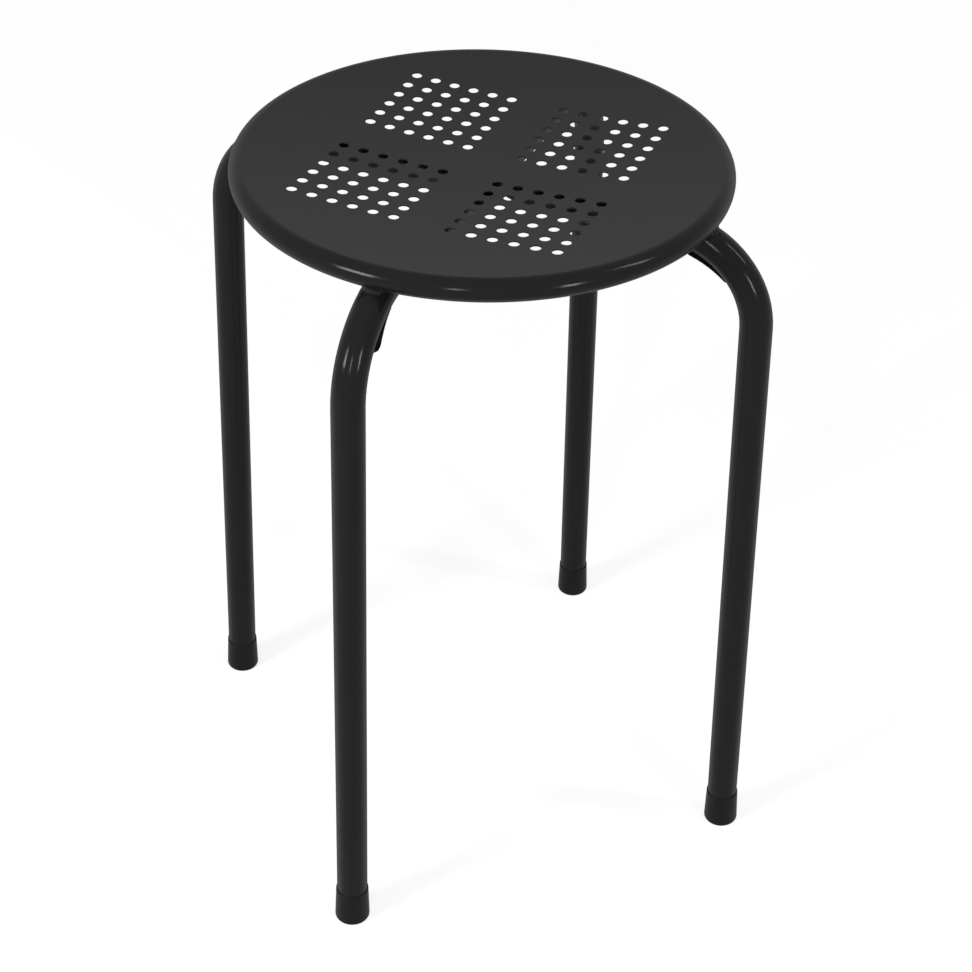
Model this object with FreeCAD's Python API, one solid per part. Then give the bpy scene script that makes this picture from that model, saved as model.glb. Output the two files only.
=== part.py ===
"""Stacking stool: pressed steel seat pan on two crossed U-bent tube frames.

All sizes are in millimetres. The origin is on the floor under the middle of
the seat, +Z is up, the front leg stands at -Y and the right leg at +X.
"""

import FreeCAD, Part

import math
import os

from FreeCAD import Matrix, Placement, Vector

# Seat pan
overall_height = 450.0
seat_diameter = 290.0
sheet_thickness = 0.7
dish_depth = 7.5
rim_roll_radius = 7.0
lip_end_angle = -135.0

# Perforation: four square groups, one in each quarter between the tubes
hole_diameter = 6.0
hole_pitch = 12.65
holes_per_side = 6
first_hole_offset = 17.0

# Tube frames
tube_diameter = 19.0
tube_wall = 1.2
bend_radius = 55.0
foot_spread_radius = 181.8
splay_angle = 1.65

# Pressed crossing, where each tube gives up half of its height
crossing_flat_half_length = 13.0
crossing_blend_length = 20.0
crossing_blend_sections = 5

# Saddle notches in the rolled rim, where the bends pass under it
notch_clearance = 0.2

# Foot caps
cap_height = 24.0
cap_base_thickness = 4.0
cap_top_diameter = 20.2
cap_bottom_diameter = 21.6
cap_bevel = 0.35
cap_edge_radius = 2.5
cap_trim = 0.4

# Stacking pads on the inside of the bends
pad_bend_angle = 34.0
pad_length = 29.0
pad_width = 10.5
pad_thickness = 2.9
pad_corner_radius = 3.0
pad_roll_angle = 12.0
pad_swing_angle = 13.0
pad_pin_diameter = 5.0
pad_pin_length = 5.0

# Welds
rim_weld_radius = 2.3
rim_weld_half_width = 7.0
crossing_weld_radius = 1.9
crossing_weld_seat = 1.5
crossing_weld_half_length = 6.0

# Heights and radii worked out from the sizes above
tube_radius = tube_diameter / 2
bore_radius = tube_radius - tube_wall
roll_centre_radius = seat_diameter / 2 - rim_roll_radius
roll_centre_height = overall_height - rim_roll_radius
dish_height = overall_height - dish_depth
roll_rise = roll_centre_height - dish_height
dish_radius = (
    (roll_centre_radius ** 2 + roll_rise ** 2 - rim_roll_radius ** 2)
    / (2 * (rim_roll_radius + roll_rise))
)
run_height = dish_height - sheet_thickness - tube_radius
splay = math.radians(splay_angle)
turn = math.pi / 2 - splay
corner_radius = foot_spread_radius - run_height * math.tan(splay)
bend_start = corner_radius - bend_radius * math.tan(turn / 2)
bend_height = run_height - bend_radius
quarter_length = math.pi / 2 * tube_radius

# Each leg's outward direction as an angle about Z
leg_angles = {"right": 0.0, "back": 90.0, "left": 180.0, "front": 270.0}

origin = Vector(0, 0, 0)
up = Vector(0, 0, 1)
outward = Vector(1, 0, 0)
sideways = Vector(0, 1, 0)


def point(radius, height, side=0.0):
    """A point in the plane of the leg that stands at +X."""
    return Vector(radius, side, height)


def turned(shape, angle):
    """A copy of the shape, turned about Z from the +X leg to another leg."""
    copy = shape.copy()
    copy.rotate(origin, up, angle)
    return copy


def arc(start, middle, end):
    return Part.Arc(start, middle, end).toShape()


def line(start, end):
    return Part.LineSegment(start, end).toShape()


def on_roll(radius, angle):
    """A point on a circle about the middle of the rolled rim's section."""
    angle = math.radians(angle)
    return point(
        roll_centre_radius + radius * math.cos(angle),
        roll_centre_height + radius * math.sin(angle),
    )


def on_dish(radius, lean):
    """A point on a sphere about the dish's centre of curvature."""
    return point(radius * math.sin(lean), dish_height + dish_radius - radius * math.cos(lean))


def pan_section():
    """Half section of the pan: a shallow dish that runs into a rolled rim."""
    lean = math.atan2(roll_centre_radius, dish_radius - roll_rise)
    crown_angle = 90.0 + math.degrees(lean)
    lip_middle = (crown_angle + lip_end_angle) / 2
    top = dish_radius
    under = dish_radius + sheet_thickness
    outer = rim_roll_radius
    inner = rim_roll_radius - sheet_thickness
    edges = [
        arc(on_dish(top, 0), on_dish(top, lean / 2), on_dish(top, lean)),
        arc(on_roll(outer, crown_angle), on_roll(outer, lip_middle), on_roll(outer, lip_end_angle)),
        line(on_roll(outer, lip_end_angle), on_roll(inner, lip_end_angle)),
        arc(on_roll(inner, lip_end_angle), on_roll(inner, lip_middle), on_roll(inner, crown_angle)),
        arc(on_dish(under, lean), on_dish(under, lean / 2), on_dish(under, 0)),
        line(on_dish(under, 0), on_dish(top, 0)),
    ]
    return Part.Face(Part.Wire(edges))


def hole_cutters():
    """One cylinder for each round hole, square to the dish."""
    steps = [first_hole_offset + index * hole_pitch for index in range(holes_per_side)]
    offsets = [side * step for side in (-1, 1) for step in steps]
    curvature_centre = Vector(0, 0, dish_height + dish_radius)
    cutters = []
    for x in offsets:
        for y in offsets:
            place = Vector(x, y, curvature_centre.z - math.sqrt(dish_radius ** 2 - x * x - y * y))
            skyward = (curvature_centre - place) * (1 / dish_radius)
            base = place - skyward * 2 * sheet_thickness
            cutters.append(Part.makeCylinder(hole_diameter / 2, 3 * sheet_thickness, base, skyward))
    return Part.makeCompound(cutters)


def seat_pan():
    """The pressed pan, perforated, with its lip notched over the four bends."""
    pan = pan_section().revolve(origin, up, 360)
    notch = bend_rod(tube_radius + notch_clearance)
    notches = [turned(notch, angle) for angle in leg_angles.values()]
    pan = pan.cut(Part.makeCompound(notches))
    return pan.cut(hole_cutters())


def circle_face(radius, centre, normal):
    return Part.Face(Part.Wire(Part.Circle(centre, normal, radius).toShape()))


def bend_rod(radius):
    """A round rod that follows the bend of the leg at +X."""
    section = circle_face(radius, point(bend_start, run_height), outward)
    return section.revolve(point(bend_start, bend_height), sideways, math.degrees(turn))


def leg_direction():
    return Vector(math.sin(splay), 0, -math.cos(splay))


def leg_rod(radius, foot_gap):
    """A round rod from the bend's lower end down to foot_gap above the floor."""
    top = on_bend(turn)
    length = (top.z - foot_gap) / math.cos(splay)
    return Part.makeCylinder(radius, length, top, leg_direction())


def pressed_section(distance, bend_share, wall, dent):
    """Closed outline of the tube where the crossing is pressed.

    bend_share is the angle that the broad side still turns through: a quarter
    turn is the round tube, and nothing is the flat. The four sides keep their
    length, as the steel does. dent is +1 where the tube is pressed from above
    and -1 where it is pressed from below.
    """
    broad = quarter_length / bend_share if bend_share else 0.0
    narrow = quarter_length / (math.pi - bend_share)
    half = bend_share / 2
    if bend_share:
        shift = (broad - narrow) * math.sin(half)
        crown = broad * (1 - math.cos(half)) + narrow * math.cos(half)
    else:
        shift = quarter_length / 2
        crown = narrow
    middle = run_height + dent * (crown - tube_radius)
    reach = narrow - wall
    knee_side = shift + reach * math.sin(half)
    knee_rise = reach * math.cos(half)
    corners = {
        (side, rise): Vector(distance, side * knee_side, middle + rise * knee_rise)
        for side in (-1, 1) for rise in (-1, 1)
    }
    edges = []
    for side, first_rise in ((1, -1), (-1, 1)):
        flank = Vector(distance, side * (shift + reach), middle)
        edges.append(arc(corners[side, first_rise], flank, corners[side, -first_rise]))
        start = corners[side, -first_rise]
        end = corners[-side, -first_rise]
        if bend_share:
            crest = Vector(distance, 0, middle - first_rise * (crown - wall))
            edges.append(arc(start, crest, end))
        else:
            edges.append(line(start, end))
    return Part.Wire(edges)


def crossing_rod(wall, dent):
    """The pressed stretch on the +X side of the crossing, without its bore."""
    flat = Part.Face(pressed_section(0.0, 0.0, wall, dent))
    rod = flat.extrude(Vector(crossing_flat_half_length, 0, 0))
    sections = []
    for index in range(crossing_blend_sections + 1):
        share = index / crossing_blend_sections
        ease = share * share * (3 - 2 * share)
        distance = crossing_flat_half_length + share * crossing_blend_length
        sections.append(pressed_section(distance, ease * math.pi / 2, wall, dent))
    return rod.fuse(Part.makeLoft(sections, True, False))


def frame_rod(wall, dent, foot_gap):
    """The whole U of one frame as a solid rod, wall inside the tube's skin."""
    radius = tube_radius - wall
    pressed_end = crossing_flat_half_length + crossing_blend_length
    run = Part.makeCylinder(
        radius, bend_start - pressed_end, point(pressed_end, run_height), outward
    )
    half = crossing_rod(wall, dent).multiFuse([run, bend_rod(radius), leg_rod(radius, foot_gap)])
    return half.fuse(turned(half, 180.0)).removeSplitter()


def leg_frame(dent):
    """One U of round tube with open ends, pressed at the crossing."""
    frame = frame_rod(0.0, dent, cap_base_thickness)
    bore = frame_rod(tube_wall, dent, cap_base_thickness - tube_wall)
    pin_hole = pad_pin(pad_pin_diameter / 2)
    frame = frame.cut(bore)
    return frame.cut(Part.makeCompound([pin_hole, turned(pin_hole, 180.0)]))


def foot_cap():
    """A push-on cap that follows the splayed leg and stands flat on the floor."""
    bottom = -cap_trim
    bottom_radius = cap_bottom_diameter / 2
    top_radius = cap_top_diameter / 2
    edge = cap_edge_radius
    diagonal = edge * (1 - math.sqrt(0.5))
    edges = [
        line(point(0, bottom), point(bottom_radius - edge, bottom)),
        arc(
            point(bottom_radius - edge, bottom),
            point(bottom_radius - diagonal, bottom + diagonal),
            point(bottom_radius, bottom + edge),
        ),
        line(point(bottom_radius, bottom + edge), point(top_radius, cap_height - cap_bevel)),
        line(point(top_radius, cap_height - cap_bevel), point(top_radius - cap_bevel, cap_height)),
        line(point(top_radius - cap_bevel, cap_height), point(tube_radius, cap_height)),
        line(point(tube_radius, cap_height), point(tube_radius, cap_base_thickness)),
        line(point(tube_radius, cap_base_thickness), point(0, cap_base_thickness)),
        line(point(0, cap_base_thickness), point(0, bottom)),
    ]
    cap = Part.Face(Part.Wire(edges)).revolve(origin, up, 360)
    cap.rotate(origin, sideways, -splay_angle)
    cap.translate(point(foot_spread_radius, 0))
    span = 2 * cap_bottom_diameter
    below = Part.makeBox(span, span, span, point(foot_spread_radius - span / 2, -span, -span / 2))
    return cap.cut(below)


def placement(x_axis, z_axis, centre):
    """The placement whose X and Z axes and origin lie as given."""
    columns = (x_axis, z_axis.cross(x_axis), z_axis, centre)
    values = [value for row in zip(*columns) for value in row]
    return Placement(Matrix(*values, 0, 0, 0, 1))


def on_bend(angle, reach=bend_radius):
    """A point at a bend angle, at a distance from the middle of the bend."""
    return point(bend_start + reach * math.sin(angle), bend_height + reach * math.cos(angle))


def pad_placement():
    """Where the pad's pin enters the tube: X along the pad, Z out of the tube."""
    angle = math.radians(pad_bend_angle)
    roll = math.radians(pad_roll_angle)
    swing = math.radians(pad_swing_angle)
    along = Vector(math.cos(angle), 0, -math.sin(angle))
    inward = Vector(-math.sin(angle), 0, -math.cos(angle))
    axis = inward * math.cos(roll) + sideways * math.sin(roll)
    across = along.cross(axis)
    length_axis = along * math.cos(swing) + across * math.sin(swing)
    return placement(length_axis, axis, on_bend(angle))


def pad_pin(radius):
    """The moulded pin, through the tube's wall along the pad's own axis."""
    skin = tube_radius + pad_thickness / 2
    pin = Part.makeCylinder(radius, pad_pin_length, Vector(0, 0, skin - pad_pin_length), up)
    pin.Placement = pad_placement()
    return pin


def rounded_plate(length, width, corner, thickness, base_height):
    """An upright block whose four corners are rounded in plan."""
    block = Part.makeBox(length, width, thickness, Vector(-length / 2, -width / 2, base_height))
    corners = [edge for edge in block.Edges if abs(edge.tangentAt(0).z) > 0.5]
    return block.makeFillet(corner, corners)


def stacking_pad():
    """A curved strip that lies on the inside of the bend, with its pin."""
    sleeve = bend_rod(tube_radius + pad_thickness).cut(bend_rod(tube_radius))
    plan = rounded_plate(pad_length, pad_width, pad_corner_radius, tube_diameter, tube_radius / 3)
    plan.Placement = pad_placement()
    return sleeve.common(plan).fuse(pad_pin(pad_pin_diameter / 2)).removeSplitter()


def rim_contact_angle():
    """Bend angle at which the tube's upper skin leaves the rolled rim outside."""
    skin = bend_radius + tube_radius
    across = roll_centre_radius - bend_start
    above = roll_centre_height - bend_height
    distance = math.hypot(across, above)
    lean = math.atan2(across, above)
    cosine = (distance ** 2 + skin ** 2 - rim_roll_radius ** 2) / (2 * distance * skin)
    return lean + math.acos(cosine)


def rim_roll_body():
    """The rolled rim as a full ring, without its hollow."""
    return Part.makeTorus(
        roll_centre_radius, rim_roll_radius, Vector(0, 0, roll_centre_height), up
    )


def rim_weld():
    """A fillet weld outside, in the corner between the bend and the rolled rim.

    The rim and the tube meet in one closed corner, the only edge of the two
    that isn't a circle. The weld fills its outer side.
    """
    joined = bend_rod(tube_radius).fuse(rim_roll_body())
    corner = [edge for edge in joined.Edges if isinstance(edge.Curve, Part.BSplineCurve)]
    weld = joined.makeFillet(rim_weld_radius, corner).cut(joined)
    outer_corner = on_bend(rim_contact_angle(), bend_radius + tube_radius)
    foot = outer_corner - up * 2 * rim_weld_half_width
    reach = Part.makeCylinder(rim_weld_half_width, 3 * rim_weld_half_width, foot)
    return weld.common(reach)


def crossing_weld():
    """Two beads in the corners between the lower flat and the upper one."""
    side_radius = quarter_length / math.pi
    reach = quarter_length / 2 + math.sqrt(4 * side_radius * crossing_weld_seat)
    height = run_height - crossing_weld_seat
    beads = []
    for side in (-1, 1):
        start = Vector(side * reach, -crossing_weld_half_length, height)
        bead = Part.makeCylinder(
            crossing_weld_radius, 2 * crossing_weld_half_length, start, sideways
        )
        ends = [
            Part.makeSphere(crossing_weld_radius, start),
            Part.makeSphere(crossing_weld_radius, start + sideways * 2 * crossing_weld_half_length),
        ]
        beads.append(bead.multiFuse(ends).removeSplitter())
    return beads


def export(name, shape):
    assert shape.isValid(), name
    solids = shape.Solids
    assert solids, name
    result = solids[0] if len(solids) == 1 else Part.makeCompound(solids)
    result.exportStep("parts/" + name + ".step")
    print(name, "solids", len(solids), "volume", round(result.Volume, 1))


def main():
    os.makedirs("parts", exist_ok=True)
    upper_frame = leg_frame(-1)
    lower_frame = turned(leg_frame(1), 90.0)
    export("seat_pan", seat_pan())
    export("upper_leg_frame", upper_frame)
    export("lower_leg_frame", lower_frame)
    frames = Part.makeCompound([upper_frame, lower_frame])
    beads = [bead.cut(frames) for bead in crossing_weld()]
    export("crossing_weld", Part.makeCompound(beads))
    cap = foot_cap()
    pad = stacking_pad()
    weld = rim_weld()
    for side, angle in leg_angles.items():
        export("foot_cap_" + side, turned(cap, angle))
        export("stacking_pad_" + side, turned(pad, angle))
        export("rim_weld_" + side, turned(weld, angle))


main()
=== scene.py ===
import math

import bmesh
import bpy
from mathutils import Matrix, Vector
from mathutils.geometry import delaunay_2d_cdt


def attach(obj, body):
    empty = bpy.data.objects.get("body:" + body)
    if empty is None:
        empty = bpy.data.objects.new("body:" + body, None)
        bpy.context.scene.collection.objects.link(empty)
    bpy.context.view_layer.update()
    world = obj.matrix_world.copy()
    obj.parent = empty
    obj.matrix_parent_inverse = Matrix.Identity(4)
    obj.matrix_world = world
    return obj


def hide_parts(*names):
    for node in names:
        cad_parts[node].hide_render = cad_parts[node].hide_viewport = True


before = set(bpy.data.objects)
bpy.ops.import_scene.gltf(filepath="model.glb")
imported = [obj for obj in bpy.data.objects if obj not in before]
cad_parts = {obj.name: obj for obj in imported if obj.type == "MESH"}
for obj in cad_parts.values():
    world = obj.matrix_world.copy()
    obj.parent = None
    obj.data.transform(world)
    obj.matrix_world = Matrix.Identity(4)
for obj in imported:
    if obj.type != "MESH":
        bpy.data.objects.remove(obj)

# A stacking stool: the pressed pan with its punched and rounded holes, the welds,
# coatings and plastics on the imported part, and a small studio.
# Laid out as a Blender add-on and run as a script. All sizes are in metres.

bl_info = {
    "name": "Stacking stool",
    "version": (1, 0, 0),
    "blender": (4, 5, 0),
    "location": "3D View > Sidebar > Stool",
    "description": "Finishes and studio for a stacking stool of sheet steel and tube",
    "category": "Object",
}

millimetre = 0.001
full_turn = 2 * math.pi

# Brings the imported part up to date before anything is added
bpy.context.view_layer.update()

# Where the legs stand, as shares of a full turn from the +X axis
leg_turns = {"right": 0.0, "back": 0.25, "left": 0.5, "front": 0.75}

# How finely the meshes are divided
rim_steps = 256
roll_steps = 40
hole_steps = 32
round_steps = 3
notch_steps = 24
bead_steps = 84
fillet_steps = 10

# Edges that turn by more than this stay sharp, in degrees
pan_sharp_angle = 50
weld_sharp_angle = 60

# How far the flat ring round a hole reaches from its wall, in edge roundings
collar_share = 1.6

# From the start of the rolled rim inwards to the last vertices of the dish
seam_width = 0.6 * millimetre

# Points of the dish's plan that lie closer than this count as one
merge_distance = 1e-7

# How far a notch cutter follows its bend, from where the bend starts
notch_sweep = math.radians(50)

# How a rim weld's hollow narrows to its ends: 0 is not at all, 1 is to nothing
weld_taper = 0.9

# Lamps: azimuth and elevation in degrees, width and height in metres, radiance
lamps = {
    "key_softbox": (-29, 20, 0.5, 0.5, 38),
    "front_strip": (14, 19, 0.16, 0.45, 26),
    "right_strip": (61, 10, 0.24, 0.45, 34),
    "far_right_strip": (102, 40, 0.18, 0.7, 21),
}
lamp_distance = 2.0
lamp_aim = (0, 0, 0.4)


def linear(hex_colour):
    """Turns an sRGB hex colour into the linear values that shaders take."""
    channels = [int(hex_colour[start:start + 2], 16) / 255 for start in (1, 3, 5)]
    values = [
        channel / 12.92 if channel <= 0.04045 else ((channel + 0.055) / 1.055) ** 2.4
        for channel in channels
    ]
    return (*values, 1.0)


class StoolPanSettings(bpy.types.PropertyGroup):
    """The pressed and punched seat pan."""

    seat_height: bpy.props.FloatProperty(
        name="Seat height", description="From the floor to the top of the rim",
        default=450 * millimetre, unit="LENGTH",
    )
    seat_diameter: bpy.props.FloatProperty(
        name="Seat diameter", description="Over the rolled rim",
        default=290 * millimetre, unit="LENGTH",
    )
    sheet_thickness: bpy.props.FloatProperty(
        name="Sheet", description="Thickness of the steel sheet",
        default=0.7 * millimetre, unit="LENGTH", precision=4,
    )
    dish_depth: bpy.props.FloatProperty(
        name="Dish depth", description="From the top of the rim down to the middle of the dish",
        default=7.5 * millimetre, unit="LENGTH", precision=4,
    )
    rim_radius: bpy.props.FloatProperty(
        name="Rim radius", description="Outer radius of the rolled rim",
        default=7 * millimetre, unit="LENGTH", precision=4,
    )
    lip_angle: bpy.props.FloatProperty(
        name="Lip angle", description="Where the roll ends, from its outermost line",
        default=math.radians(-85), subtype="ANGLE",
    )
    hole_diameter: bpy.props.FloatProperty(
        name="Hole", description="Diameter of a punched hole",
        default=6 * millimetre, unit="LENGTH", precision=4,
    )
    hole_pitch: bpy.props.FloatProperty(
        name="Hole pitch", description="Between the middles of two neighbouring holes",
        default=12.65 * millimetre, unit="LENGTH", precision=4,
    )
    first_hole: bpy.props.FloatProperty(
        name="First hole", description="From a centre line of the seat to the first row",
        default=17 * millimetre, unit="LENGTH", precision=4,
    )
    holes_per_side: bpy.props.IntProperty(
        name="Holes per side", description="Rows and columns of one square group", default=6, min=1,
    )
    edge_round: bpy.props.FloatProperty(
        name="Edge round", description="Radius of a punched edge under its coat",
        default=0.25 * millimetre, unit="LENGTH", precision=5,
    )


class StoolTubeSettings(bpy.types.PropertyGroup):
    """The bends where they meet the rim, and the welds there."""

    tube_diameter: bpy.props.FloatProperty(
        name="Tube", description="Outer diameter of the tube",
        default=19 * millimetre, unit="LENGTH", precision=4,
    )
    bend_radius: bpy.props.FloatProperty(
        name="Bend radius", description="Radius of the bend along the tube's centre line",
        default=55 * millimetre, unit="LENGTH",
    )
    foot_spread: bpy.props.FloatProperty(
        name="Foot spread", description="From the middle of the stool to the middle of a foot",
        default=181.8 * millimetre, unit="LENGTH",
    )
    splay: bpy.props.FloatProperty(
        name="Splay", description="How far a leg leans outwards",
        default=math.radians(1.65), subtype="ANGLE",
    )
    notch_gap: bpy.props.FloatProperty(
        name="Notch gap", description="Room between a bend and the notch in the rim",
        default=0.2 * millimetre, unit="LENGTH", precision=5,
    )
    weld_radius: bpy.props.FloatProperty(
        name="Weld radius", description="Radius of the hollow face of a rim weld",
        default=2.3 * millimetre, unit="LENGTH", precision=4,
    )
    weld_half_width: bpy.props.FloatProperty(
        name="Weld half width", description="From the crown of the tube to the weld's end",
        default=6 * millimetre, unit="LENGTH", precision=4,
    )
    ripple_pitch: bpy.props.FloatProperty(
        name="Ripple pitch", description="Between two ripples of a weld",
        default=1.9 * millimetre, unit="LENGTH", precision=4,
    )
    ripple_height: bpy.props.FloatProperty(
        name="Ripple height", description="From the valleys of a weld to its crests",
        default=0.25 * millimetre, unit="LENGTH", precision=5,
    )


class StoolCoatingSettings(bpy.types.PropertyGroup):
    """The powder coat on the steel."""

    colour: bpy.props.FloatVectorProperty(
        name="Coat colour", description="Colour of the coat on the pan, the tubes and the welds",
        subtype="COLOR", size=4, min=0, max=1, default=linear("#1a1a1a"),
    )
    colour_drift: bpy.props.FloatProperty(
        name="Colour drift", description="How much lighter and darker the coat's soft clouds are",
        default=0.08, min=0, max=1,
    )
    cloud_width: bpy.props.FloatProperty(
        name="Cloud width", description="Size of the clouds, which an uneven coat makes",
        default=60 * millimetre, unit="LENGTH",
    )
    refraction: bpy.props.FloatProperty(
        name="Refraction", description="Low, so that the coat mirrors the room only faintly",
        default=1.17, min=1, max=2,
    )
    roughness: bpy.props.FloatProperty(
        name="Roughness", description="Roughness of the cured coat, seen face on",
        default=0.14, min=0, max=1,
    )
    edge_roughness: bpy.props.FloatProperty(
        name="Edge roughness", description="Roughness of the coat, seen at a flat angle",
        default=0.5, min=0, max=1,
    )
    fade_start: bpy.props.FloatProperty(
        name="Fade start", description="Where the gloss starts to fade: 0 is face on, 1 is edge on",
        default=0.35, min=0, max=1,
    )
    fade_end: bpy.props.FloatProperty(
        name="Fade end", description="Where the gloss has faded: 0 is face on, 1 is edge on",
        default=0.8, min=0, max=1,
    )
    peel_width: bpy.props.FloatProperty(
        name="Orange peel", description="Distance between the soft bumps of the cured coat",
        default=2.2 * millimetre, unit="LENGTH", precision=4,
    )
    peel_depth: bpy.props.FloatProperty(
        name="Peel depth", description="Height of the soft bumps",
        default=0.008 * millimetre, unit="LENGTH", precision=6,
    )


class StoolPlasticSettings(bpy.types.PropertyGroup):
    """The moulded plastic of the caps and pads."""

    cap_colour: bpy.props.FloatVectorProperty(
        name="Cap colour", description="Colour of the foot caps",
        subtype="COLOR", size=4, min=0, max=1, default=linear("#0e0e0e"),
    )
    pad_colour: bpy.props.FloatVectorProperty(
        name="Pad colour", description="Colour of the stacking pads",
        subtype="COLOR", size=4, min=0, max=1, default=linear("#060606"),
    )
    cap_refraction: bpy.props.FloatProperty(
        name="Cap refraction", description="Low, so that the caps mirror the room only faintly",
        default=1.2, min=1, max=2,
    )
    pad_refraction: bpy.props.FloatProperty(
        name="Pad refraction", description="The same for the pads, which are duller",
        default=1.06, min=1, max=2,
    )
    roughness: bpy.props.FloatProperty(
        name="Roughness", description="Roughness of the moulded skin",
        default=0.5, min=0, max=1,
    )
    colour_drift: bpy.props.FloatProperty(
        name="Colour drift", description="How much lighter and darker the grain is",
        default=0.15, min=0, max=1,
    )
    grain_width: bpy.props.FloatProperty(
        name="Grain", description="Size of the mould's grain, drawn coarse enough to show",
        default=0.6 * millimetre, unit="LENGTH", precision=4,
    )
    grain_depth: bpy.props.FloatProperty(
        name="Grain depth", description="Height of the grain",
        default=0.02 * millimetre, unit="LENGTH", precision=6,
    )


class StoolStudioSettings(bpy.types.PropertyGroup):
    """Floor, room and camera."""

    floor_colour: bpy.props.FloatVectorProperty(
        name="Floor colour", description="Colour of the studio floor",
        subtype="COLOR", size=4, min=0, max=1, default=linear("#959595"),
    )
    floor_glow: bpy.props.FloatProperty(
        name="Floor glow", description="What the lit floor adds to look white, also in gloss",
        default=0.78, min=0, max=1,
    )
    far_glow: bpy.props.FloatProperty(
        name="Far glow", description="The same for the floor beyond the lamps' reach",
        default=0.9, min=0, max=1,
    )
    lit_radius: bpy.props.FloatProperty(
        name="Lit radius", description="How far the fully lit floor reaches from the middle",
        default=0.5, unit="LENGTH",
    )
    far_radius: bpy.props.FloatProperty(
        name="Far radius", description="Where the floor is beyond the lamps' reach",
        default=3.0, unit="LENGTH",
    )
    floor_width: bpy.props.FloatProperty(
        name="Floor width", description="Length of one side of the floor",
        default=12.0, unit="LENGTH",
    )
    room_light: bpy.props.FloatProperty(
        name="Room light", description="Even light of the room on matt surfaces",
        default=0.35, min=0, max=1,
    )
    azimuth: bpy.props.FloatProperty(
        name="Azimuth", description="Camera's turn from the front towards the right leg",
        default=math.radians(23.596), subtype="ANGLE",
    )
    elevation: bpy.props.FloatProperty(
        name="Elevation", description="Camera's height angle over the floor",
        default=math.radians(36.189), subtype="ANGLE",
    )
    roll: bpy.props.FloatProperty(
        name="Roll", description="Camera's turn about its own view",
        default=math.radians(1.194), subtype="ANGLE",
    )
    distance: bpy.props.FloatProperty(
        name="Distance", description="From the aim point to the camera",
        default=1.3733, unit="LENGTH",
    )
    aim: bpy.props.FloatVectorProperty(
        name="Aim", description="Point in the middle of the picture",
        subtype="XYZ", unit="LENGTH", default=(0.0054, 0.0024, 0.2149),
    )
    focal_length: bpy.props.FloatProperty(
        name="Focal length", description="Lens, in millimetres on a 36 mm wide sensor",
        default=80.05, min=1,
    )


def add_node(tree, kind, values=(), links=(), **attributes):
    """Adds a node: its own settings, socket values by name and links by name."""
    node = tree.nodes.new(kind)
    for name, value in attributes.items():
        setattr(node, name, value)
    for name, value in dict(values).items():
        node.inputs[name].default_value = value
    for name, source in dict(links).items():
        tree.links.new(source, node.inputs[name])
    return node


def new_material(name):
    """An empty material with its node tree."""
    material = bpy.data.materials.new(name)
    material.use_nodes = True
    material.node_tree.nodes.clear()
    return material, material.node_tree


def drifting_colour(tree, colour, drift, pattern):
    """A colour that a noise pattern makes a little lighter and darker."""
    shade = add_node(
        tree, "ShaderNodeMapRange", {"To Min": 1 - drift, "To Max": 1 + drift},
        {"Value": pattern.outputs["Fac"]},
    )
    tint = add_node(
        tree, "ShaderNodeVectorMath", {0: colour[:3]}, operation="SCALE",
        links={"Scale": shade.outputs["Result"]},
    )
    return tint.outputs["Vector"]


def powder_coat(settings):
    """Glossy polyester powder coat, oven-cured on steel.

    The powder flows together into soft bumps, so that highlights are narrow
    and bright and break up a little at their ends. The skin is glossy face on
    and satin at a flat angle, so the pale room doesn't edge the tubes in white.
    """
    material, tree = new_material("black_powder_coated_steel")
    place = add_node(tree, "ShaderNodeTexCoord")
    cloud = add_node(
        tree, "ShaderNodeTexNoise", {"Scale": 1 / settings.cloud_width, "Detail": 3.0},
        {"Vector": place.outputs["Object"]},
    )
    peel = add_node(
        tree, "ShaderNodeTexNoise", {"Scale": 1 / settings.peel_width, "Detail": 1.5},
        {"Vector": place.outputs["Object"]},
    )
    bumps = add_node(
        tree, "ShaderNodeBump", {"Strength": 1.0, "Distance": settings.peel_depth},
        {"Height": peel.outputs["Fac"]},
    )
    edge = add_node(tree, "ShaderNodeLayerWeight", {"Blend": 0.5})
    gloss = add_node(
        tree, "ShaderNodeMapRange",
        {
            "From Min": settings.fade_start,
            "From Max": settings.fade_end,
            "To Min": settings.roughness,
            "To Max": settings.edge_roughness,
        },
        {"Value": edge.outputs["Facing"]},
    )
    surface = add_node(
        tree, "ShaderNodeBsdfPrincipled", {"IOR": settings.refraction},
        {
            "Base Color": drifting_colour(tree, settings.colour, settings.colour_drift, cloud),
            "Roughness": gloss.outputs["Result"],
            "Normal": bumps.outputs["Normal"],
        },
    )
    add_node(tree, "ShaderNodeOutputMaterial", links={"Surface": surface.outputs["BSDF"]})
    return material


def coat(scene):
    """The powder coat that pan, tubes and welds share."""
    made = bpy.data.materials.get("black_powder_coated_steel")
    return made or powder_coat(scene.stool_coating)


def moulded_plastic(name, colour, refraction, settings):
    """Black polyethylene from a spark-eroded mould: a fine even grain, matt.

    The grain is drawn coarser than the real one, which would be too fine to show.
    """
    material, tree = new_material(name)
    place = add_node(tree, "ShaderNodeTexCoord")
    grain = add_node(
        tree, "ShaderNodeTexNoise", {"Scale": 1 / settings.grain_width, "Detail": 2.0},
        {"Vector": place.outputs["Object"]},
    )
    bumps = add_node(
        tree, "ShaderNodeBump", {"Strength": 1.0, "Distance": settings.grain_depth},
        {"Height": grain.outputs["Fac"]},
    )
    surface = add_node(
        tree, "ShaderNodeBsdfPrincipled",
        {"IOR": refraction, "Roughness": settings.roughness},
        {
            "Base Color": drifting_colour(tree, colour, settings.colour_drift, grain),
            "Normal": bumps.outputs["Normal"],
        },
    )
    add_node(tree, "ShaderNodeOutputMaterial", links={"Surface": surface.outputs["BSDF"]})
    return material


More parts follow.
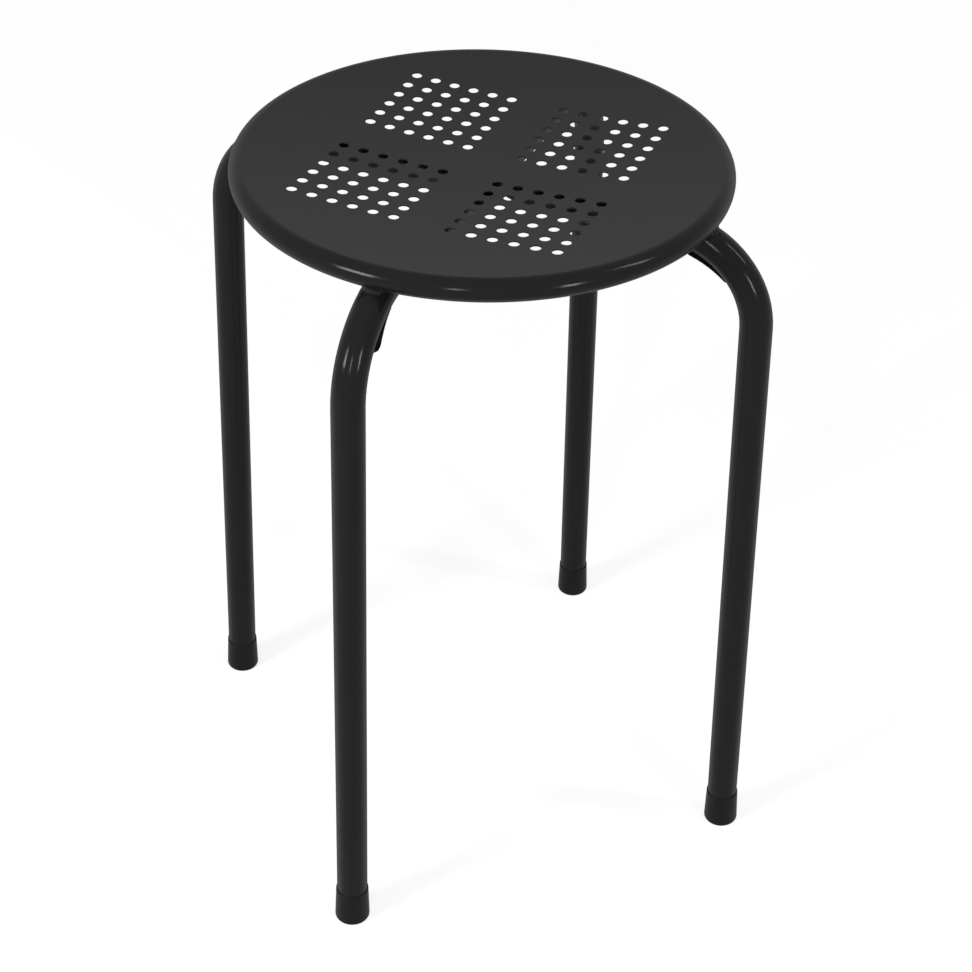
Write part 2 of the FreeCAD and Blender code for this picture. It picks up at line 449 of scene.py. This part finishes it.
def dress(node_name, material):
    """Gives a carried-over CAD node its finish."""
    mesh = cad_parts[node_name].data
    mesh.materials.clear()
    mesh.materials.append(material)


def closed_strips(body, rings):
    """Joins neighbouring rings of equally many vertices with quads."""
    for ring, following in zip(rings, rings[1:]):
        for index in range(len(ring)):
            after = (index + 1) % len(ring)
            body.faces.new((ring[index], ring[after], following[after], following[index]))


def finished_object(name, body, sharp_angle=pan_sharp_angle):
    """Turns a bmesh into a linked object, smooth but for its sharp edges."""
    bmesh.ops.recalc_face_normals(body, faces=body.faces)
    mesh = bpy.data.meshes.new(name)
    body.to_mesh(mesh)
    body.free()
    mesh.shade_smooth()
    mesh.set_sharp_from_angle(angle=math.radians(sharp_angle))
    thing = bpy.data.objects.new(name, mesh)
    bpy.context.scene.collection.objects.link(thing)
    return thing


def place_piece(piece, material, slot, *nodes):
    """Gives a piece its material and body, and hides the nodes that it stands for. The slot is not
    used.
    """
    piece.data.materials.append(material)
    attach(piece, "root")
    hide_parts(*nodes)


class PanForm:
    """The pan's surfaces: a shallow sphere that runs into a rolled rim."""

    def __init__(self, settings):
        self.settings = settings
        self.roll = Vector((
            settings.seat_diameter / 2 - settings.rim_radius,
            settings.seat_height - settings.rim_radius,
        ))
        bottom = settings.seat_height - settings.dish_depth
        rise = self.roll.y - bottom
        self.radius = (
            (self.roll.x ** 2 + rise ** 2 - settings.rim_radius ** 2)
            / (2 * (settings.rim_radius + rise))
        )
        self.centre = Vector((0, 0, bottom + self.radius))
        self.lean = math.atan2(self.roll.x, self.radius - rise)

    def on_dish(self, x, y, depth=0.0):
        """A point of the dish above x, y, and depth below its upper face."""
        height = self.centre.z - math.sqrt(self.radius ** 2 - x * x - y * y)
        upper = Vector((x, y, height))
        return self.centre + (upper - self.centre) * (1 + depth / self.radius)

    def on_roll(self, reach, angle):
        """A point of the rim's section, as distance from the axis and height."""
        return self.roll + Vector((math.cos(angle), math.sin(angle))) * reach

    def hole_places(self):
        """The middles of all holes, group by group, seen from above."""
        steps = [
            self.settings.first_hole + index * self.settings.hole_pitch
            for index in range(self.settings.holes_per_side)
        ]
        offsets = [side * step for side in (-1, 1) for step in steps]
        return [Vector((x, y)) for x in offsets for y in offsets]

    def hole_section(self):
        """Reach and height of a hole's wall, from the upper face to the lower."""
        reach = self.settings.hole_diameter / 2
        soft = self.settings.edge_round
        thickness = self.settings.sheet_thickness
        angles = [math.pi / 2 * step / round_steps for step in range(round_steps + 1)]
        upper = [
            (reach + soft - soft * math.sin(angle), soft * math.cos(angle) - soft)
            for angle in angles
        ]
        lower = [(across, -thickness - height) for across, height in reversed(upper)]
        collar = reach + collar_share * soft
        return [(collar, 0.0), *upper, *lower, (collar, -thickness)]

    def rim_profile(self):
        """The rim's section from the dish's upper face round the lip to its lower face."""
        outer = self.settings.rim_radius
        inner = outer - self.settings.sheet_thickness
        lip_radius = (outer - inner) / 2
        start = math.pi / 2 + self.lean
        end = self.settings.lip_angle + lip_radius / inner
        angles = [start + (end - start) * step / roll_steps for step in range(roll_steps + 1)]
        lip_middle = self.on_roll(outer - lip_radius, end)
        lip = [
            lip_middle + Vector((math.cos(end - turn), math.sin(end - turn))) * lip_radius
            for turn in (math.pi / 4, math.pi / 2, 3 * math.pi / 4)
        ]
        return [
            *(self.on_roll(outer, angle) for angle in angles),
            *lip,
            *(self.on_roll(inner, angle) for angle in reversed(angles)),
        ]


def punched_holes(body, form):
    """Rings of vertices down each rounded hole. Returns their plan loops, upper and lower ring."""
    section = form.hole_section()
    loops = []
    for middle in form.hole_places():
        place = form.on_dish(middle.x, middle.y)
        skyward = (form.centre - place).normalized()
        side = (Vector((1, 0, 0)) - skyward * skyward.x).normalized()
        forward = skyward.cross(side)
        rings = []
        for reach, height in section:
            ring = []
            for step in range(hole_steps):
                angle = full_turn * (step + 0.5) / hole_steps
                level = height + reach ** 2 / (2 * form.radius)
                spoke = side * math.cos(angle) + forward * math.sin(angle)
                ring.append(body.verts.new(place + spoke * reach + skyward * level))
            rings.append(ring)
        closed_strips(body, rings)
        loops.append((rings[0], rings[-1]))
    return loops


def plain_places(form, edge):
    """Points of a square net over the dish that keep clear of the holes and of its edge.

    Its lines lie half a pitch apart, from one pitch before the first row of holes.
    """
    settings = form.settings
    step = settings.hole_pitch / 2
    line = [settings.first_hole + step * index for index in range(-2, math.ceil(edge / step))]
    line = [-place for place in reversed(line)] + line
    holes = form.hole_places()
    places = []
    for x in line:
        for y in line:
            place = Vector((x, y))
            beside_hole = min((hole - place).length for hole in holes) < settings.hole_diameter
            if place.length < edge - step / 2 and not beside_hole:
                places.append(place)
    return places


def dish_triangles(vertices, hole_vertices):
    """Triangles of a face of the dish, as numbers of its vertices.

    The vertices round the holes come first, hole by hole, and those along the
    dish's edge come last. The triangles that would close a hole are left out.
    """
    loops = [range(start, start + hole_steps) for start in range(0, hole_vertices, hole_steps)]
    loops.append(range(len(vertices) - rim_steps, len(vertices)))
    borders = [(loop[index - 1], loop[index]) for loop in loops for index in range(len(loop))]
    plan = [vertex.co.xy for vertex in vertices]
    result = delaunay_2d_cdt(plan, borders, [], 0, merge_distance, True)
    _, _, triangles, origins, _, _ = result
    kept = []
    for triangle in triangles:
        corners = [origins[index][0] for index in triangle]
        owners = {corner // hole_steps for corner in corners}
        if max(corners) >= hole_vertices or len(owners) > 1:
            kept.append(corners)
    return kept


def punched_dish(body, form, circle):
    """Both faces of the dish and its holes. Returns the vertices along the edge of each face."""
    thickness = form.settings.sheet_thickness
    holes = punched_holes(body, form)
    upper = [vertex for ring, _ in holes for vertex in ring]
    lower = [vertex for _, ring in holes for vertex in ring]
    hole_vertices = len(upper)
    edge = form.radius * math.sin(form.lean) - seam_width
    edge_places = [Vector((math.cos(angle), math.sin(angle))) * edge for angle in circle]
    for place in plain_places(form, edge) + edge_places:
        upper.append(body.verts.new(form.on_dish(place.x, place.y)))
        lower.append(body.verts.new(form.on_dish(place.x, place.y, thickness)))
    for corners in dish_triangles(upper, hole_vertices):
        body.faces.new([upper[corner] for corner in corners])
        body.faces.new([lower[corner] for corner in reversed(corners)])
    return upper[-rim_steps:], lower[-rim_steps:]


def pan_body(form):
    """The whole pan as one closed body, before its notches."""
    body = bmesh.new()
    circle = [full_turn * step / rim_steps for step in range(rim_steps)]
    upper_edge, lower_edge = punched_dish(body, form, circle)
    rings = [upper_edge]
    for point in form.rim_profile():
        rings.append([
            body.verts.new((point.x * math.cos(angle), point.x * math.sin(angle), point.y))
            for angle in circle
        ])
    rings.append(lower_edge)
    closed_strips(body, rings)
    return body


class BendForm:
    """The bend of the leg at +X, where it passes under the rim."""

    def __init__(self, tubes, pan):
        self.radius = tubes.bend_radius
        run_height = (
            pan.seat_height - pan.dish_depth - pan.sheet_thickness - tubes.tube_diameter / 2
        )
        corner = tubes.foot_spread - run_height * math.tan(tubes.splay)
        turn = math.pi / 2 - tubes.splay
        self.middle = Vector((corner - self.radius * math.tan(turn / 2), run_height - self.radius))

    def ring(self, body, turn, angle, reach):
        """Vertices of one circle about the centre line, on the leg turned about Z."""
        spoke = Vector((math.sin(angle), math.cos(angle)))
        centre = self.middle + spoke * self.radius
        outward = Vector((spoke.x, 0, spoke.y))
        points = []
        for step in range(2 * notch_steps):
            around = full_turn * step / (2 * notch_steps)
            side = Vector((0, 1, 0)) * math.sin(around)
            offset = (outward * math.cos(around) + side) * reach
            points.append(body.verts.new(turn @ (Vector((centre.x, 0, centre.y)) + offset)))
        return points


def notch_cutter(bend, reach):
    """Four bent rods that cut the saddle notches into the rim's lip."""
    body = bmesh.new()
    for share in leg_turns.values():
        turn = Matrix.Rotation(full_turn * share, 3, "Z")
        angles = [notch_sweep * step / notch_steps for step in range(notch_steps + 1)]
        rings = [bend.ring(body, turn, angle, reach) for angle in angles]
        closed_strips(body, rings)
        body.faces.new(reversed(rings[0]))
        body.faces.new(rings[-1])
    return finished_object("notch_cutter", body)


def cut_notches(pan, cutter):
    """Cuts the notches and takes the cutter away again."""
    notch = pan.modifiers.new("notches", "BOOLEAN")
    notch.operation = "DIFFERENCE"
    notch.solver = "EXACT"
    notch.object = cutter
    shaped = pan.evaluated_get(bpy.context.evaluated_depsgraph_get())
    mesh = bpy.data.meshes.new_from_object(shaped)
    pan.modifiers.clear()
    pan.data = mesh
    mesh.set_sharp_from_angle(angle=math.radians(pan_sharp_angle))
    bpy.data.objects.remove(cutter)


class STOOL_OT_seat_pan(bpy.types.Operator):
    """Presses and punches the seat pan, and coats it"""

    bl_idname = "stool.seat_pan"
    bl_label = "Seat pan"

    def execute(self, context):
        scene = context.scene
        pan = finished_object("pressed_pan", pan_body(PanForm(scene.stool_pan)))
        reach = scene.stool_tubes.tube_diameter / 2 + scene.stool_tubes.notch_gap
        bend = BendForm(scene.stool_tubes, scene.stool_pan)
        cut_notches(pan, notch_cutter(bend, reach))
        place_piece(pan, coat(scene), "seat_coating", "seat_pan")
        return {"FINISHED"}


class STOOL_OT_leg_frames(bpy.types.Operator):
    """Coats the two tube frames and the weld where they cross"""

    bl_idname = "stool.leg_frames"
    bl_label = "Leg frames"

    def execute(self, context):
        for node_name in ("upper_leg_frame", "lower_leg_frame", "crossing_weld"):
            dress(node_name, coat(context.scene))
        return {"FINISHED"}


def outer_crossing(first, first_reach, second, second_reach):
    """Where two circles cross, on the side away from the stool's middle."""
    line = second - first
    base = (line.length_squared + first_reach ** 2 - second_reach ** 2) / (2 * line.length)
    rise = math.sqrt(first_reach ** 2 - base ** 2)
    along = line.normalized()
    return first + along * base + Vector((along.y, -along.x)) * rise


def weld_section(form, bend, tubes, side, swell):
    """Section of a rim weld at a sideways distance from the crown of the tube.

    The hollow face is an arc that touches the rolled rim and the tube. The
    other points lie inside the steel of each and in the corner between them.
    """
    tube_reach = bend.radius + math.sqrt((tubes.tube_diameter / 2) ** 2 - side ** 2)
    roll_reach = form.settings.rim_radius
    roll = Vector((math.sqrt(form.roll.x ** 2 - side ** 2), form.roll.y))
    share = side / tubes.weld_half_width
    hollow = tubes.weld_radius * math.sqrt(1 - weld_taper * share ** 2)
    corner = outer_crossing(bend.middle, tube_reach, roll, roll_reach)
    middle = outer_crossing(bend.middle, tube_reach + hollow, roll, roll_reach + hollow)
    to_roll = (roll - middle).normalized()
    to_tube = (bend.middle - middle).normalized()
    points = [corner, middle + to_roll * (hollow + tubes.notch_gap)]
    for step in range(fillet_steps + 1):
        part = step / fillet_steps
        spoke = to_roll.slerp(to_tube, part)
        lift = swell * math.sin(math.pi * part)
        points.append(middle + spoke * (hollow - lift))
    points.append(middle + to_tube * (hollow + tubes.notch_gap))
    return points


def rim_weld(name, share, form, bend, tubes):
    """A fillet weld over the crown of the tube, with the ripples of its run."""
    body = bmesh.new()
    turn = Matrix.Rotation(full_turn * share, 3, "Z")
    rings = []
    for step in range(bead_steps + 1):
        side = tubes.weld_half_width * (2 * step / bead_steps - 1)
        ripple = abs(math.sin(math.pi * side / tubes.ripple_pitch))
        section = weld_section(form, bend, tubes, side, tubes.ripple_height * ripple)
        rings.append([body.verts.new(turn @ Vector((point.x, side, point.y))) for point in section])
    closed_strips(body, rings)
    body.faces.new(reversed(rings[0]))
    body.faces.new(rings[-1])
    return finished_object(name, body, weld_sharp_angle)


class STOOL_OT_rim_welds(bpy.types.Operator):
    """Lays the four welds between the rim and the bends"""

    bl_idname = "stool.rim_welds"
    bl_label = "Rim welds"

    def execute(self, context):
        scene = context.scene
        form = PanForm(scene.stool_pan)
        bend = BendForm(scene.stool_tubes, scene.stool_pan)
        for side_name, share in leg_turns.items():
            weld = rim_weld(side_name + "_rim_bead", share, form, bend, scene.stool_tubes)
            place_piece(weld, coat(scene), "frame_coating", "rim_weld_" + side_name)
        return {"FINISHED"}


class STOOL_OT_foot_caps(bpy.types.Operator):
    """Finishes the four foot caps"""

    bl_idname = "stool.foot_caps"
    bl_label = "Foot caps"

    def execute(self, context):
        settings = context.scene.stool_plastic
        plastic = moulded_plastic(
            "moulded_cap_polyethylene", settings.cap_colour, settings.cap_refraction, settings,
        )
        for side_name in leg_turns:
            dress("foot_cap_" + side_name, plastic)
        return {"FINISHED"}


class STOOL_OT_stacking_pads(bpy.types.Operator):
    """Finishes the four stacking pads"""

    bl_idname = "stool.stacking_pads"
    bl_label = "Stacking pads"

    def execute(self, context):
        settings = context.scene.stool_plastic
        plastic = moulded_plastic(
            "moulded_pad_polyethylene", settings.pad_colour, settings.pad_refraction, settings,
        )
        for side_name in leg_turns:
            dress("stacking_pad_" + side_name, plastic)
        return {"FINISHED"}


def seen_directly(tree):
    """1 for rays of the camera, of gloss and of clear materials, else 0."""
    path = add_node(tree, "ShaderNodeLightPath")
    eye_or_gloss = add_node(
        tree, "ShaderNodeMath", operation="MAXIMUM",
        links={0: path.outputs["Is Camera Ray"], 1: path.outputs["Is Glossy Ray"]},
    )
    direct = add_node(
        tree, "ShaderNodeMath", operation="MAXIMUM",
        links={0: eye_or_gloss.outputs["Value"], 1: path.outputs["Is Transmission Ray"]},
    )
    return direct.outputs["Value"]


def pale_paper(settings):
    """Matt paper under the lamps, filled up to white so that only shadows show.

    It is clear from below, so that the underside of the stool can be seen.
    """
    material, tree = new_material("pale_paper_floor")
    matt = add_node(tree, "ShaderNodeBsdfDiffuse", {"Color": settings.floor_colour})
    place = add_node(tree, "ShaderNodeTexCoord")
    away = add_node(
        tree, "ShaderNodeVectorMath", operation="LENGTH", links={0: place.outputs["Object"]},
    )
    fill = add_node(
        tree, "ShaderNodeMapRange",
        {
            "From Min": settings.lit_radius,
            "From Max": settings.far_radius,
            "To Min": settings.floor_glow,
            "To Max": settings.far_glow,
        },
        {"Value": away.outputs["Value"]},
    )
    level = add_node(
        tree, "ShaderNodeMath", operation="MULTIPLY",
        links={0: seen_directly(tree), 1: fill.outputs["Result"]},
    )
    glow = add_node(
        tree, "ShaderNodeEmission", {"Color": linear("#ffffff")},
        {"Strength": level.outputs["Value"]},
    )
    lit = add_node(
        tree, "ShaderNodeAddShader", links={0: matt.outputs["BSDF"], 1: glow.outputs["Emission"]},
    )
    below = add_node(tree, "ShaderNodeNewGeometry")
    clear = add_node(tree, "ShaderNodeBsdfTransparent")
    sheet = add_node(
        tree, "ShaderNodeMixShader",
        links={0: below.outputs["Backfacing"], 1: lit.outputs["Shader"], 2: clear.outputs["BSDF"]},
    )
    add_node(tree, "ShaderNodeOutputMaterial", links={"Surface": sheet.outputs["Shader"]})
    return material


def studio_floor(settings):
    """A seamless pale floor that keeps the stool's shadow."""
    half = settings.floor_width / 2
    corners = [(-half, -half, 0), (half, -half, 0), (half, half, 0), (-half, half, 0)]
    mesh = bpy.data.meshes.new("studio_floor")
    mesh.from_pydata(corners, [], [(0, 1, 2, 3)])
    mesh.materials.append(pale_paper(settings))
    floor = bpy.data.objects.new("studio_floor", mesh)
    bpy.context.scene.collection.objects.link(floor)


def studio_world(settings):
    """An even room, white where it is seen directly or in gloss."""
    world = bpy.data.worlds.new("pale_room")
    bpy.context.scene.world = world
    world.use_nodes = True
    tree = world.node_tree
    tree.nodes.clear()
    strength = add_node(
        tree, "ShaderNodeMapRange", {"To Min": settings.room_light, "To Max": 1.0},
        {"Value": seen_directly(tree)},
    )
    room = add_node(
        tree, "ShaderNodeBackground", {"Color": linear("#ffffff")},
        {"Strength": strength.outputs["Result"]},
    )
    add_node(tree, "ShaderNodeOutputWorld", links={"Surface": room.outputs["Background"]})


def softbox(name, azimuth, elevation, width, height, radiance):
    """An area lamp on a sphere about the seat, facing it.

    The azimuth turns from the front towards the right leg, and the radiance is
    how bright the lamp itself looks, where 1 is white.
    """
    lamp = bpy.data.lights.new(name, "AREA")
    lamp.shape = "RECTANGLE"
    lamp.size = width
    lamp.size_y = height
    lamp.energy = radiance * width * height * math.pi
    thing = bpy.data.objects.new(name, lamp)
    turn = Matrix.Rotation(math.radians(azimuth), 4, "Z")
    tilt = Matrix.Rotation(math.radians(90 - elevation), 4, "X")
    back = Matrix.Translation((0, 0, lamp_distance))
    thing.matrix_world = Matrix.Translation(lamp_aim) @ turn @ tilt @ back
    bpy.context.scene.collection.objects.link(thing)


def camera(settings):
    """The camera at the photograph's angle."""
    lens = bpy.data.cameras.new("studio_camera")
    lens.lens = settings.focal_length
    lens.sensor_width = 36.0
    thing = bpy.data.objects.new("studio_camera", lens)
    turn = Matrix.Rotation(settings.azimuth, 4, "Z")
    tilt = Matrix.Rotation(math.pi / 2 - settings.elevation, 4, "X")
    roll = Matrix.Rotation(settings.roll, 4, "Z")
    back = Matrix.Translation((0, 0, settings.distance))
    thing.matrix_world = Matrix.Translation(settings.aim) @ turn @ tilt @ back @ roll
    bpy.context.scene.collection.objects.link(thing)
    bpy.context.scene.camera = thing


class STOOL_OT_studio(bpy.types.Operator):
    """Sets up the pale floor, the lamps and the camera"""

    bl_idname = "stool.studio"
    bl_label = "Studio"

    def execute(self, context):
        settings = context.scene.stool_studio
        studio_floor(settings)
        studio_world(settings)
        for name, values in lamps.items():
            softbox(name, *values)
        camera(settings)
        context.scene.view_settings.view_transform = "Standard"
        return {"FINISHED"}


class STOOL_PT_panel(bpy.types.Panel):
    """Lists the stool's pieces in the sidebar"""

    bl_label = "Stacking stool"
    bl_idname = "STOOL_PT_panel"
    bl_space_type = "VIEW_3D"
    bl_region_type = "UI"
    bl_category = "Stool"

    def draw(self, context):
        for operator in piece_operators:
            self.layout.operator(operator.bl_idname)
        for group in setting_groups:
            settings = getattr(context.scene, group)
            for name in settings.__annotations__:
                self.layout.prop(settings, name)


setting_groups = {
    "stool_pan": StoolPanSettings,
    "stool_tubes": StoolTubeSettings,
    "stool_coating": StoolCoatingSettings,
    "stool_plastic": StoolPlasticSettings,
    "stool_studio": StoolStudioSettings,
}
piece_operators = (
    STOOL_OT_seat_pan,
    STOOL_OT_leg_frames,
    STOOL_OT_rim_welds,
    STOOL_OT_foot_caps,
    STOOL_OT_stacking_pads,
    STOOL_OT_studio,
)


def register():
    for name, group in setting_groups.items():
        bpy.utils.register_class(group)
        setattr(bpy.types.Scene, name, bpy.props.PointerProperty(type=group))
    for operator in piece_operators:
        bpy.utils.register_class(operator)
    bpy.utils.register_class(STOOL_PT_panel)


def unregister():
    bpy.utils.unregister_class(STOOL_PT_panel)
    for operator in reversed(piece_operators):
        bpy.utils.unregister_class(operator)
    for name, group in setting_groups.items():
        delattr(bpy.types.Scene, name)
        bpy.utils.unregister_class(group)


def main():
    register()
    bpy.ops.stool.seat_pan()
    bpy.ops.stool.leg_frames()
    bpy.ops.stool.rim_welds()
    bpy.ops.stool.foot_caps()
    bpy.ops.stool.stacking_pads()
    bpy.ops.stool.studio()


if __name__ == "__main__":
    main()
